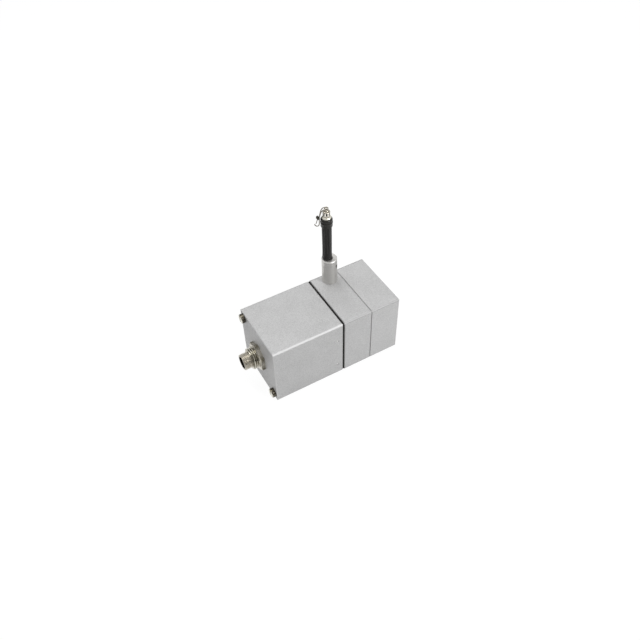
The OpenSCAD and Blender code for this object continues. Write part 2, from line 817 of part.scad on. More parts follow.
electronics_housing();
housing_gasket();
drum_housing();
spring_housing();
bearing_plate();
outlet_tube();
wire_guide();
tube_set_screw();
side_pins();
housing_screws();
cover_screws();
connector_shell();
connector_nut();
connector_seal();
connector_insert();
connector_pins();
bearing_outer_rings();
bearing_balls();
board_pillars();
circuit_board();
board_parts();
board_screws();
read_head();
lead_harness();
power_spring();
drum_shaft();
wire_drum();
wire_winding();
wire_anchor();
drum_grub_screw();
bearing_inner_rings();
shaft_rings();
spring_arbor();
disc_hub();
code_disc();
draw_wire();
rubber_sleeve();
sleeve_cap();
ferrule();
swivel_barrel();
swivel_eye();
clip_body();
clip_gate();
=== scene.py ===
import json
import math

import bmesh
import bpy
from mathutils import Matrix, Vector


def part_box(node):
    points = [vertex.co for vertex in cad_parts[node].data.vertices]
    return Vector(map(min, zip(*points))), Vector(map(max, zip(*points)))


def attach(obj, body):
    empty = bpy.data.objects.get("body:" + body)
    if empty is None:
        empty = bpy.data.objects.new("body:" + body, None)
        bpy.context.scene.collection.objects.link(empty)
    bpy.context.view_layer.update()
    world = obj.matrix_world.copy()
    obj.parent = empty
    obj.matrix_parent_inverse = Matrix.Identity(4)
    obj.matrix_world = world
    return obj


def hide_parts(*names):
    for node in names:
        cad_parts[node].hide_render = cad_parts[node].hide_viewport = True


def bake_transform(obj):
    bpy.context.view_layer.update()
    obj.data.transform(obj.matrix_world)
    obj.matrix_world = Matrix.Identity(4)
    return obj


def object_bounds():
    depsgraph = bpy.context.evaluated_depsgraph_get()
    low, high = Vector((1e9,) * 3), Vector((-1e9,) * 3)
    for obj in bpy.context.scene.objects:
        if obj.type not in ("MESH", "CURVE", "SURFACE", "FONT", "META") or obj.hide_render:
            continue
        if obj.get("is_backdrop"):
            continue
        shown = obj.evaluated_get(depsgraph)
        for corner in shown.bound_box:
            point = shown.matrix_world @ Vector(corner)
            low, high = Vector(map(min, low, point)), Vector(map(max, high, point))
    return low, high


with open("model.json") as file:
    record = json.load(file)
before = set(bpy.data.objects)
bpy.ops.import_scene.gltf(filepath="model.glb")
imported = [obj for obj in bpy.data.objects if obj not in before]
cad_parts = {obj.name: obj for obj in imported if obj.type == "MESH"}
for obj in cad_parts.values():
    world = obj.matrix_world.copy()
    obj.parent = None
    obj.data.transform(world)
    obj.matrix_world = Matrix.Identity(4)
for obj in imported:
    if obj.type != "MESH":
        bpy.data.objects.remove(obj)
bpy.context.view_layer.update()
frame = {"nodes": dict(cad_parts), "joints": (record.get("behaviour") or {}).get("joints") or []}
nodes = frame["nodes"]


# ---- Housing blocks ----
# Two aluminium blocks and a deep cup, milled square with rounded long edges. All three are bead
# blasted and clear anodised. Along their edges the colour is painted: lighter on the cup, a painted
# highlight, and darker on the blocks, painted shade.


def add(tree, kind, inputs=None, **settings):
    """Adds a shader node. inputs maps a socket to a value or to another node's output."""
    made = tree.nodes.new("ShaderNode" + kind)
    for key, value in settings.items():
        setattr(made, key, value)
    for key, value in (inputs or {}).items():
        if isinstance(value, bpy.types.NodeSocket):
            tree.links.new(value, made.inputs[key])
        else:
            made.inputs[key].default_value = value
    return made


def start_finish(name, roughness, metallic=0.0):
    """A new material with its node tree and its main shader."""
    finish = bpy.data.materials.new(name)
    finish.use_nodes = True
    shader = finish.node_tree.nodes["Principled BSDF"]
    shader.inputs["Roughness"].default_value = roughness
    shader.inputs["Metallic"].default_value = metallic
    return finish, finish.node_tree, shader


def grain(tree, size, detail=2.0, stretch=(1.0, 1.0, 1.0)):
    """Noise with grains of that size in metres, drawn out along an axis by stretch."""
    place = add(tree, "TexCoord").outputs["Object"]
    scale = [1 / (size * s) for s in stretch]
    placed = add(tree, "Mapping", {"Vector": place, "Scale": scale}).outputs["Vector"]
    return add(tree, "TexNoise", {"Vector": placed, "Scale": 1.0, "Detail": detail}).outputs["Fac"]


def between(tree, amount, dark, light):
    """A colour that runs from dark to light as amount passes through its middle."""
    ramp = add(tree, "ValToRGB", {"Fac": amount})
    low, high = ramp.color_ramp.elements
    low.position, high.position = 0.25, 0.75
    low.color, high.color = (*dark, 1.0), (*light, 1.0)
    return ramp.outputs["Color"]


def roughen(tree, shader, amount, smooth, rough):
    """Lets the roughness run from smooth to rough with amount."""
    spread = add(tree, "MapRange", {"Value": amount, "From Min": 0.3, "From Max": 0.7,
                                    "To Min": smooth, "To Max": rough})
    tree.links.new(spread.outputs["Result"], shader.inputs["Roughness"])


def raise_surface(tree, shader, height, depth, strength):
    """Bump of that depth in metres."""
    bump = add(tree, "Bump", {"Height": height, "Distance": depth, "Strength": strength})
    tree.links.new(bump.outputs["Normal"], shader.inputs["Normal"])


def grey(value, warmth=0.0):
    """A grey, a little redder than it is blue where warmth is above zero."""
    return (value + warmth, value, value - warmth)


def blasted_aluminium(name, tone, shine, roughness, edge):
    """Blasted faces. Along the rounded and chamfered edges the colour is painted to the tone edge: a painted
    highlight where edge is lighter than the faces, painted shade where it is darker.
    """
    finish, tree, shader = start_finish(name, roughness, shine)
    cloud = grain(tree, 0.012, 3.0)
    blotch = grain(tree, 0.0011, 2.0)
    pitting = grain(tree, 0.0005, 2.0)
    colour = between(tree, cloud, grey(tone - 0.02), grey(tone + 0.02))
    for specks, share in ((blotch, 0.3), (pitting, 0.7)):
        colour = add(tree, "MixRGB", {"Fac": share, "Color1": colour,
                                      "Color2": between(tree, specks, grey(0.3), grey(0.7))},
                     blend_type="OVERLAY").outputs["Color"]
    # Painted edge tone: where the normal leans away from the axes, the colour turns to the tone edge.
    facing = add(tree, "TexCoord").outputs["Normal"]
    facing = add(tree, "VectorMath", {0: facing}, operation="ABSOLUTE").outputs[0]
    facing = add(tree, "SeparateXYZ", {0: facing}).outputs
    square = add(tree, "Math", {0: facing["X"], 1: facing["Y"]}, operation="MAXIMUM")
    square = add(tree, "Math", {0: square.outputs[0], 1: facing["Z"]}, operation="MAXIMUM")
    painted_edge = add(tree, "MapRange", {"Value": square.outputs[0], "From Min": 0.99, "From Max": 0.9}).outputs[0]
    colour = add(tree, "MixRGB", {"Fac": painted_edge, "Color1": colour, "Color2": (*grey(edge), 1.0)})
    tree.links.new(colour.outputs["Color"], shader.inputs["Base Color"])
    roughen(tree, shader, pitting, roughness - 0.04, roughness + 0.04)
    raise_surface(tree, shader, pitting, 0.00003, 0.5)
    return finish


def coat(finish, *names):
    """Gives CAD nodes that finish."""
    for name in names:
        nodes[name].data.materials.clear()
        nodes[name].data.materials.append(finish)


# The last number is the painted edge tone: a painted highlight on the cup, painted shade on the two blocks.
coat(blasted_aluminium("cup_aluminium", 0.57, 0.2, 0.5, 0.74), "electronics_housing")
coat(blasted_aluminium("drum_block_aluminium", 0.58, 0.2, 0.5, 0.48), "drum_housing")
coat(blasted_aluminium("spring_block_aluminium", 0.6, 0.2, 0.5, 0.48), "spring_housing")


# ---- Gasket ----
# Black rubber sheet, punched to the outline of the cup and clamped between it and the drum
# housing by the two long screws.


def black_rubber(name, tone, roughness):
    """Black rubber with a faint bloom and a fine moulded skin."""
    finish, tree, shader = start_finish(name, roughness)
    shader.inputs["Specular IOR Level"].default_value = 0.35
    bloom = grain(tree, 0.004, 4.0)
    skin = grain(tree, 0.0002, 2.0)
    tree.links.new(between(tree, bloom, grey(tone * 0.7, tone * 0.1), grey(tone * 1.3, tone * 0.2)),
                   shader.inputs["Base Color"])
    roughen(tree, shader, bloom, roughness - 0.08, roughness + 0.08)
    raise_surface(tree, shader, skin, 0.00004, 0.4)
    return finish


coat(black_rubber("gasket_rubber", 0.005, 0.8), "housing_gasket", "connector_seal")


# ---- Shaft and bearings ----
# Ground steel shaft in two deep-groove ball bearings, held by black spring-steel rings that
# snap into its grooves.


def machined(name, colour, roughness, rings, fine=0.0002, depth=0.000003, streaks=0.06, shine=1.0):
    """Bare or plated metal whose tool marks run round the axis called rings."""
    finish, tree, shader = start_finish(name, roughness, shine)
    stretch = [1.0 if axis == rings else 40.0 for axis in "XYZ"]
    lines = grain(tree, fine, 3.0, stretch)
    smudges = grain(tree, 0.006, 3.0)
    dark = [part * (1 - streaks) for part in colour]
    light = [min(part * (1 + streaks), 1.0) for part in colour]
    tree.links.new(between(tree, lines, dark, light), shader.inputs["Base Color"])
    roughen(tree, shader, smudges, roughness * 0.8, roughness * 1.2)
    raise_surface(tree, shader, lines, depth, 0.4)
    return finish


coat(machined("ground_steel", (0.5, 0.5, 0.5), 0.18, "X", fine=0.0001), "drum_shaft",
     "bearing_inner_rings", "bearing_outer_rings")
coat(machined("ball_steel", (0.62, 0.62, 0.62), 0.06, "X", streaks=0.02), "bearing_balls")
coat(machined("ring_steel", (0.045, 0.043, 0.04), 0.4, "X"), "shaft_rings")


# ---- Drum and winding ----
# Turned and clear-anodised spool. The stranded wire lies on it in a single layer, its end held
# by a pressed ball; a black grub screw fixes the drum to the shaft.
coat(machined("turned_aluminium", (0.66, 0.67, 0.68), 0.28, "X"), "wire_drum", "bearing_plate")
coat(machined("wound_wire", (0.42, 0.42, 0.41), 0.3, "Y", fine=0.00012, depth=0.00001, streaks=0.4),
     "wire_winding", "wire_anchor")
coat(machined("black_oxide", (0.03, 0.03, 0.032), 0.42, "Z"), "drum_grub_screw")


# ---- Power spring ----
# Flat spring strip, blued when it was hardened, wound from the slotted steel arbor on the shaft
# out to the wall of its chamber.
blued, tree, shader = start_finish("blued_spring", 0.3, 1.0)
heat = grain(tree, 0.008, 3.0)
tree.links.new(between(tree, heat, (0.03, 0.05, 0.13), (0.13, 0.1, 0.09)), shader.inputs["Base Color"])
raise_surface(tree, shader, grain(tree, 0.00012, 2.0, (1.0, 30.0, 30.0)), 0.000004, 0.4)
coat(blued, "power_spring")
coat(machined("arbor_steel", (0.4, 0.4, 0.41), 0.3, "X"), "spring_arbor")


# ---- Encoder ----
# Etched steel code disc on a brass hub, read by a black moulded fork. The board stands on four
# brass pillars and carries its parts, its screws and the header of the leads.


def moulding(name, colour, roughness=0.45):
    """Moulded plastic with a fine spark-eroded skin."""
    finish, tree, shader = start_finish(name, roughness)
    mottle = grain(tree, 0.003, 3.0)
    dark = [part * 0.85 for part in colour]
    light = [min(part * 1.15, 1.0) for part in colour]
    tree.links.new(between(tree, mottle, dark, light), shader.inputs["Base Color"])
    roughen(tree, shader, mottle, roughness - 0.06, roughness + 0.06)
    raise_surface(tree, shader, grain(tree, 0.00015), 0.00001, 0.5)
    return finish


def lead_insulation():
    """One colour of insulation for each lead."""
    finish, tree, shader = start_finish("lead_insulation", 0.45)
    pick = add(tree, "NewGeometry").outputs["Random Per Island"]
    ramp = add(tree, "ValToRGB", {"Fac": pick})
    ramp.color_ramp.interpolation = "CONSTANT"
    leads = [(0.5, 0.02, 0.02), (0.02, 0.06, 0.4), (0.02, 0.25, 0.05), (0.6, 0.45, 0.03),
             (0.7, 0.7, 0.68), (0.12, 0.05, 0.02), (0.2, 0.2, 0.21), (0.6, 0.25, 0.3)]
    while len(ramp.color_ramp.elements) < len(leads):
        ramp.color_ramp.elements.new(1.0)
    for i, colour in enumerate(leads):
        ramp.color_ramp.elements[i].position = i / len(leads)
        ramp.color_ramp.elements[i].color = (*colour, 1.0)
    tree.links.new(ramp.outputs["Color"], shader.inputs["Base Color"])
    raise_surface(tree, shader, grain(tree, 0.0004), 0.00001, 0.4)
    return finish


coat(machined("etched_disc", (0.55, 0.56, 0.58), 0.2, "X"), "code_disc")
coat(machined("turned_brass", (0.6, 0.42, 0.16), 0.25, "X"), "disc_hub", "board_pillars")
coat(machined("zinc_plate", (0.55, 0.56, 0.58), 0.3, "X"), "board_screws", "cover_screws")
coat(moulding("board_laminate", (0.02, 0.16, 0.06), 0.3), "circuit_board")
coat(moulding("black_moulding", (0.018, 0.018, 0.019)), "board_parts", "read_head", "connector_insert")
coat(lead_insulation(), "lead_harness")


# ---- Outlet tube ----
# Aluminium tube, turned and pressed into the drum housing over the wire. It holds an ivory
# low-friction guide, and a black set screw near its top.
coat(machined("tube_aluminium", (0.63, 0.62, 0.6), 0.45, "Z", fine=0.0003, depth=0.000004, shine=0.85),
     "outlet_tube")
coat(moulding("guide_plastic", (0.78, 0.74, 0.62), 0.35), "wire_guide")
coat(machined("set_screw_black", (0.006, 0.006, 0.006), 0.5, "Z", shine=0.3), "tube_set_screw")


# ---- Connector shell ----
# Nickel-plated brass, turned from bar: a flange inside the cup, an M16 thread for the nut and
# an M12 thread for the plug. The key slot is cut in the rim of the socket.
MM = 0.001


def eased(points, radius, steps=3):
    """The same line of points with its corners rounded off."""
    points = [Vector(point) for point in points]
    line = [points[0]]
    for before, corner, after in zip(points, points[1:], points[2:]):
        back, ahead = before - corner, after - corner
        start = corner + back.normalized() * min(radius, back.length / 2)
        end = corner + ahead.normalized() * min(radius, ahead.length / 2)
        for i in range(steps + 1):
            t = i / steps
            line.append(start * (1 - t) ** 2 + corner * 2 * t * (1 - t) + end * t ** 2)
    line.append(points[-1])
    kept = line[:1]
    for point in line[1:]:
        if (point - kept[-1]).length > 1e-7:
            kept.append(point)
    return kept


def turned(mesh, outline, centre, axis="Z", sides=96, shape=None):
    """Adds a solid of revolution. outline goes from (radius, height) to the next in metres, and
    either starts and ends on the axis or runs right round a bore."""
    lie = {"X": Matrix.Rotation(math.radians(90), 4, "Y"), "Y": Matrix.Rotation(math.radians(-90), 4, "X"),
           "Z": Matrix.Identity(4)}[axis]
    place = Matrix.Translation(centre) @ lie
    rings = []
    for radius, height in outline:
        if radius < 1e-7:
            rings.append([mesh.verts.new(place @ Vector((0.0, 0.0, height)))])
            continue
        ring = []
        for i in range(sides):
            turn = 2 * math.pi * i / sides
            r = shape(radius, height, turn) if shape else radius
            ring.append(mesh.verts.new(place @ Vector((r * math.cos(turn), r * math.sin(turn), height))))
        rings.append(ring)
    if len(rings[0]) > 1:
        rings.append(rings[0])
    for low, high in zip(rings, rings[1:]):
        for i in range(sides):
            j = (i + 1) % sides
            corners = [low[i % len(low)], low[j % len(low)], high[j % len(high)], high[i % len(high)]]
            mesh.faces.new(list(dict.fromkeys(corners)))


def make_piece(name, mesh, finishes, body, stands_for, crease=35):
    """Turns the mesh into a smooth piece that rides on the body in place of its CAD node."""
    bmesh.ops.recalc_face_normals(mesh, faces=mesh.faces)
    data = bpy.data.meshes.new(name)
    mesh.to_mesh(data)
    mesh.free()
    data.shade_smooth()
    data.set_sharp_from_angle(angle=math.radians(crease))
    for finish in finishes if isinstance(finishes, list) else [finishes]:
        data.materials.append(finish)
    piece = bpy.data.objects.new(name, data)
    bpy.context.scene.collection.objects.link(piece)
    if body:
        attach(piece, body)
    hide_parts(stands_for)
    return piece


def thread_depth(height, turn, pitch, depth):
    """How far a right-hand thread is cut in at this height and turn."""
    phase = (height / pitch + turn / (2 * math.pi)) % 1.0
    flank = abs(2 * phase - 1)
    return depth * min(max((flank - 0.12) / 0.7, 0.0), 1.0)


shell_low, shell_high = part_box("connector_shell")
shell_mid = (shell_low + shell_high) / 2
shell_l = shell_high.x - shell_low.x
front_r, front_l, mount_r, flange_r = 6.0 * MM, 5.8 * MM, 8.0 * MM, shell_high.y
socket_r, back_r = 4.4 * MM, 5.6 * MM
flange_front = shell_l - 2.0 * MM
key_deep, key_half, key_r = 1.3 * MM, 0.9 * MM, 5.2 * MM
front_pitch, front_cut, mount_pitch, mount_cut = 1.0 * MM, 0.5 * MM, 1.5 * MM, 0.75 * MM


def shell_shape(radius, height, turn):
    """Cuts the two threads and the key slot into the turned shell."""
    if radius > 5.7 * MM and height < front_l - 0.1 * MM:
        cut = thread_depth(height, turn, front_pitch, front_cut)
        return min(radius, max(radius - cut, 5.4 * MM))
    if radius > 7.5 * MM and height < flange_front - 0.1 * MM:
        return radius - thread_depth(height, turn, mount_pitch, mount_cut)
    on_key = abs(turn - math.pi) * socket_r < key_half
    if abs(radius - socket_r) < 0.3 * MM and on_key and height < key_deep:
        return key_r
    return radius


def paint_shade_near_axis(finish, axis, centres, low, high, shade_colour):
    """Paints shade into the finish: darkest at radius low round the nearest of those axes, and plain at high.
    """
    tree = finish.node_tree
    shader = tree.nodes["Principled BSDF"]
    plain = shader.inputs["Base Color"].links[0].from_socket
    flat = [0.0 if letter == axis else 1.0 for letter in "XYZ"]
    place = add(tree, "TexCoord").outputs["Object"]
    radius = 1.0
    for centre in centres:
        offset = add(tree, "VectorMath", {0: place, 1: centre}, operation="SUBTRACT").outputs[0]
        offset = add(tree, "VectorMath", {0: offset, 1: flat}, operation="MULTIPLY").outputs[0]
        reach = add(tree, "VectorMath", {0: offset}, operation="LENGTH").outputs["Value"]
        radius = add(tree, "Math", {0: reach, 1: radius}, operation="MINIMUM").outputs[0]
    amount = add(tree, "MapRange", {"Value": radius, "From Min": low, "From Max": high}).outputs[0]
    mixed = add(tree, "MixRGB", {"Fac": amount, "Color1": (*shade_colour, 1.0), "Color2": plain})
    tree.links.new(mixed.outputs["Color"], shader.inputs["Base Color"])
    return finish


def spaced(radius, start, end, step):
    """Points at one radius, close enough together to carry a thread."""
    count = max(1, round(abs(end - start) / step))
    return [(radius, start + (end - start) * i / count) for i in range(count + 1)]


def threaded_nickel(name, roughness, radius, cut, roots):
    """Nickel plate with painted shade that darkens it towards the roots of a thread."""
    plain = machined(name, (0.62, 0.59, 0.52), roughness, "X", fine=0.00025, streaks=0.12)
    return paint_shade_near_axis(plain, "X", [shell_mid], radius - cut, radius - 0.1 * MM, roots)


shell = bmesh.new()
outline = [(socket_r, 0.15 * MM), (socket_r + 0.15 * MM, 0.0), (front_r - 0.6 * MM, 0.0)]
outline += [(front_r - 0.3 * MM, 0.15 * MM), (front_r, 0.45 * MM)]
outline += spaced(front_r, 0.6 * MM, front_l - 0.25 * MM, 0.125 * MM)
outline += [(front_r - 0.5 * MM, front_l - 0.2 * MM), (front_r - 0.5 * MM, front_l)]
outline += [(mount_r - 0.8 * MM, front_l), (mount_r - 0.4 * MM, front_l + 0.15 * MM)]
outline += spaced(mount_r, front_l + 0.5 * MM, flange_front - 0.2 * MM, 0.18 * MM)
outline += [(mount_r, flange_front), (flange_r - 0.2 * MM, flange_front)]
outline += [(flange_r, flange_front + 0.2 * MM), (flange_r, shell_l - 0.2 * MM)]
outline += [(flange_r - 0.2 * MM, shell_l), (back_r + 0.2 * MM, shell_l), (back_r, shell_l - 0.2 * MM)]
outline += [(back_r, front_l), (socket_r, front_l), (socket_r, front_l - 0.2 * MM)]
outline += [(socket_r, key_deep + 0.05 * MM), (socket_r, key_deep - 0.05 * MM)]
turned(shell, outline, Vector((shell_low.x, shell_mid.y, shell_mid.z)), "X", 128, shell_shape)
# Faces inside the socket mouth get socket_shade, near black, as painted shade; the front threads get a nickel
# of their own.
for face in shell.faces:
    spot = face.calc_center_median() - shell_mid
    if spot.x < front_l - shell_l / 2:
        face.material_index = 2 if math.hypot(spot.y, spot.z) < socket_r + 0.4 * MM else 1
# Both threads carry painted shade in their roots.
shell_nickel = [threaded_nickel("mount_thread_nickel", 0.26, mount_r, mount_cut, (0.2, 0.19, 0.14)),
                threaded_nickel("front_thread_nickel", 0.38, front_r, front_cut, (0.46, 0.43, 0.37)),
                machined("socket_shade", (0.03, 0.028, 0.024), 0.4, "X")]
make_piece("connector_shell_threaded", shell, shell_nickel, "housing", "connector_shell")


# ---- Connector nut, insert and pins ----
# A flat hexagon nut clamps the shell in the cup. The black moulded insert holds the gold-plated
# contacts and closes the shell behind them.
nut_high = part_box("connector_nut")[1]
across_flats = min(nut_high.y, nut_high.z - shell_mid.z)
# Towards its corners and flats the nut is painted darker than its face, as painted shade.
nut_nickel = machined("nut_nickel", (0.58, 0.55, 0.48), 0.3, "X", fine=0.0003, streaks=0.15)
coat(paint_shade_near_axis(nut_nickel, "X", [shell_mid], across_flats + 0.9 * MM, across_flats - 0.1 * MM,
            (0.25, 0.23, 0.18)), "connector_nut")
coat(machined("contact_gold", (0.85, 0.68, 0.36), 0.15, "X"), "connector_pins")


# ---- Side pins ----
# Two hardened steel dowels with crowned ends, pressed through the wall of the cup into the
# spigot, so that the cup can't be pulled off.
pins_low, pins_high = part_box("side_pins")
pin_r, cup_side = 0.8 * MM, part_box("electronics_housing")[0].y
pin_l = pins_high.y - cup_side - 0.1 * MM
pin_x, pin_heights = (pins_low.x + pins_high.x) / 2, (pins_low.z + pin_r, pins_high.z - pin_r)
pins = bmesh.new()
for height in pin_heights:
    outline = [(0.0, 0.0), (0.35 * MM, 0.06 * MM), (0.55 * MM, 0.2 * MM), (0.6 * MM, 0.7 * MM),
               (pin_r, 0.8 * MM), (pin_r, pin_l - 0.2 * MM), (pin_r - 0.2 * MM, pin_l), (0.0, pin_l)]
    turned(pins, outline, Vector((pin_x, cup_side + 0.1 * MM, height)), "Y", 32)
# Near-white steel with a near-black rim on each pin end: a painted highlight with painted shade round it.
pin_steel_painted_light = paint_shade_near_axis(machined("pin_steel_painted_light", (0.95, 0.94, 0.92), 0.3, "Y"), "Y",
                   [(pins_low.x + pin_r, 0.0, height) for height in pin_heights],
                   pin_r, pin_r - 0.2 * MM, (0.02, 0.02, 0.018))
make_piece("side_pins_crowned", pins, pin_steel_painted_light, "housing", "side_pins")


# ---- Housing and cover screws ----
# Two long slotted M4 screws, nickel plated, run through the cup into the drum housing. Four
# sunk socket screws hold the spring housing.
screw_low, screw_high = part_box("housing_screws")
head_r = 3.5 * MM
heads = [(0.0, screw_low.y + head_r, screw_low.z + head_r),
         (0.0, screw_high.y - head_r, screw_high.z - head_r)]
# The rims of the two screw heads are painted dark, as painted shade.
screw_nickel = machined("screw_nickel", (0.72, 0.7, 0.62), 0.18, "X", fine=0.0003, streaks=0.2)
coat(paint_shade_near_axis(screw_nickel, "X", heads, head_r, head_r - 0.7 * MM, (0.1, 0.09, 0.07)),
     "housing_screws")


# ---- Draw wire ----
# Stranded stainless wire, 0.5 mm thick. It leaves the drum upwards, through the guide and the
# tube, and ends in the ferrule of the wire end, which pulls it out.


def bent(mesh, route, radius, sides, place=None, lobes=None):
    """Adds a round wire with rounded ends along a route. lobes scales the radius by the turn and
    by the length that is gone."""
    route = [Vector(point) for point in route]
    steps = [0.02, 0.15, 0.4, 0.7, 1.0]
    first = (route[1] - route[0]).normalized() * radius
    last = (route[-2] - route[-1]).normalized() * radius
    spine = [(route[0] + first * s, math.sqrt(1 - (1 - s) ** 2)) for s in steps]
    spine += [(point, 1.0) for point in route[1:-1]]
    spine += [(route[-1] + last * s, math.sqrt(1 - (1 - s) ** 2)) for s in reversed(steps)]
    side = (route[1] - route[0]).orthogonal().normalized()
    rings, gone = [], 0.0
    for i, (point, scale) in enumerate(spine):
        ahead = (spine[min(i + 1, len(spine) - 1)][0] - spine[max(i - 1, 0)][0]).normalized()
        side = (side - ahead * side.dot(ahead)).normalized()
        across = ahead.cross(side)
        gone += (point - spine[max(i - 1, 0)][0]).length
        ring = []
        for k in range(sides):
            turn = 2 * math.pi * k / sides
            r = radius * scale * (lobes(turn, gone) if lobes else 1.0)
            spot = point + side * (r * math.cos(turn)) + across * (r * math.sin(turn))
            ring.append(mesh.verts.new(place @ spot if place else spot))
        rings.append(ring)
    for low, high in zip(rings, rings[1:]):
        for k in range(sides):
            mesh.faces.new([low[k], low[(k + 1) % sides], high[(k + 1) % sides], high[k]])
    mesh.faces.new(rings[0][::-1])
    mesh.faces.new(rings[-1])


wire_r, lay, strands, strand_wide = 0.25 * MM, 3.0 * MM, 6, 0.22 * MM


def strand_lobes(turn, gone):
    """Strands laid round each other, as a share of the wire's radius."""
    return 0.86 + 0.14 * abs(math.cos(strands / 2 * (turn + 2 * math.pi * gone / lay)))


def wire_rope(name):
    """Stainless strands twisted round the upright line of the wire, with painted shade darkening the grooves
    between them.
    """
    finish, tree, shader = start_finish(name, 0.3, 1.0)
    place = add(tree, "SeparateXYZ", {0: add(tree, "TexCoord").outputs["Object"]}).outputs
    twist = add(tree, "Math", {0: place["Z"], 1: 2 * math.pi * strands / lay},
                operation="MULTIPLY").outputs[0]
    across = add(tree, "Math", {0: add(tree, "Math", {0: place["X"], 1: place["Y"]}).outputs[0],
                                1: 2 * math.pi / strand_wide}, operation="MULTIPLY").outputs[0]
    wave = add(tree, "Math", {0: add(tree, "Math", {0: twist, 1: across}).outputs[0]},
               operation="SINE").outputs[0]
    height = add(tree, "Math", {0: wave, 1: 0.25}, operation="MULTIPLY").outputs[0]
    height = add(tree, "Math", {0: height, 1: 0.5}).outputs[0]
    tree.links.new(between(tree, height, (0.2, 0.2, 0.2), (0.62, 0.61, 0.6)),
                   shader.inputs["Base Color"])
    raise_surface(tree, shader, height, 0.00004, 0.6)
    return finish


wire_low, wire_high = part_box("draw_wire")
guide_low, guide_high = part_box("wire_guide")
sleeve_low, sleeve_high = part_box("rubber_sleeve")
tube_x, tube_y = [(guide_low[i] + guide_high[i]) / 2 for i in range(2)]
end_x, end_y = [(sleeve_low[i] + sleeve_high[i]) / 2 for i in range(2)]
leave_x, leave_y = wire_high.x - wire_r, wire_low.y + wire_r
blend_from = guide_high.z - 7 * MM
corners = [(leave_x, leave_y, wire_low.z), (leave_x, leave_y, wire_low.z + 5.6 * MM),
           (tube_x, tube_y, guide_low.z + 5 * MM), (tube_x, tube_y, blend_from),
           (end_x, end_y, sleeve_low.z + 4 * MM), (end_x, end_y, wire_high.z)]
curve = eased(corners, 3 * MM, 6)
route = []
for start, end in zip(curve, curve[1:]):
    pieces = max(1, round((end - start).length / (0.25 * MM)))
    route += [start.lerp(end, i / pieces) for i in range(pieces)]
route.append(curve[-1])
wire = bmesh.new()
bent(wire, route, wire_r, 24, lobes=strand_lobes)
drawn = make_piece("draw_wire_stranded", wire, wire_rope("wire_rope"), None, "draw_wire", 80)
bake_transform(drawn)


# ---- Rubber sleeve and cap ----
# Black rubber stop, shrunk over the ferrule's stem so that it keeps faint ribs. Its foot rests
# on the tube, and a harder cap is pressed over its top.
foot_r = (sleeve_high.x - sleeve_low.x) / 2 - 0.2 * MM
sleeve_r, stem_r, neck_r, fold_deep = 3.45 * MM, 1.75 * MM, 3.33 * MM, 0.3 * MM
cap_low, cap_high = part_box("sleeve_cap")
cap_r = (cap_high.x - cap_low.x) / 2


def sleeve_shape(radius, height, turn):
    """Seven lengthwise folds and eleven weaker ones, which fade out towards the foot."""
    if radius < 2.5 * MM:
        return radius
    fade = min(max((height - 3 * MM) / (6 * MM), 0.0), 1.0)
    fold = max(0.0, math.cos(7 * turn + 0.4)) ** 4 + 0.4 * max(0.0, math.cos(11 * turn + height * 60)) ** 4
    return radius - fold_deep * fade * fold


sleeve_h = sleeve_high.z - sleeve_low.z
sleeve = bmesh.new()
bead = 1.1 * MM
foot = [(foot_r + bead * (math.cos(a) - 1), bead * (1 + math.sin(a)))
        for a in [math.radians(-90 + 10 * i) for i in range(13)]]
flare = [(*foot[-1], 0), (sleeve_r, 3 * MM, 0), (neck_r, 5.5 * MM, 0), (neck_r, 6 * MM, 0)]
flare = eased(flare, 2 * MM, 5)
neck_top, body_l, body_steps = 5.9, 22.5, 20
outline = [(stem_r, 0.0)] + foot[:-1] + [(point.x, point.y) for point in flare[:-1]]
outline += [(neck_r + (sleeve_r - neck_r) * i / body_steps, (neck_top + body_l * i / body_steps) * MM)
            for i in range(body_steps + 1)]
outline += [(sleeve_r, sleeve_h - 0.3 * MM), (sleeve_r - 0.3 * MM, sleeve_h), (stem_r, sleeve_h)]
turned(sleeve, outline, Vector((end_x, end_y, sleeve_low.z)), sides=112, shape=sleeve_shape)
make_piece("sleeve_ribbed", sleeve, black_rubber("sleeve_rubber", 0.009, 0.38), "wire_end",
           "rubber_sleeve")

cap_h = cap_high.z - cap_low.z
cap = bmesh.new()
in_r, body_r = sleeve_r + 0.02 * MM, cap_r - 0.2 * MM
outline = [(in_r, 0.0), (body_r, 0.0), (body_r, 2.5 * MM), (cap_r, 2.9 * MM), (cap_r, 3.9 * MM),
           (body_r, 4.3 * MM), (body_r, 6.0 * MM), (body_r - 0.9 * MM, cap_h), (3.1 * MM, cap_h - 0.4 * MM),
           (stem_r, cap_h - 0.5 * MM), (stem_r, 5.02 * MM), (in_r, 5.02 * MM)]
rim = eased([(x, y, 0) for x, y in outline + outline[:1]], 0.3 * MM, 4)[:-1]
turned(cap, [(point.x, point.y) for point in rim], Vector((end_x, end_y, cap_low.z)))
make_piece("cap_moulded", cap, black_rubber("cap_rubber", 0.012, 0.32), "wire_end",
           "sleeve_cap")


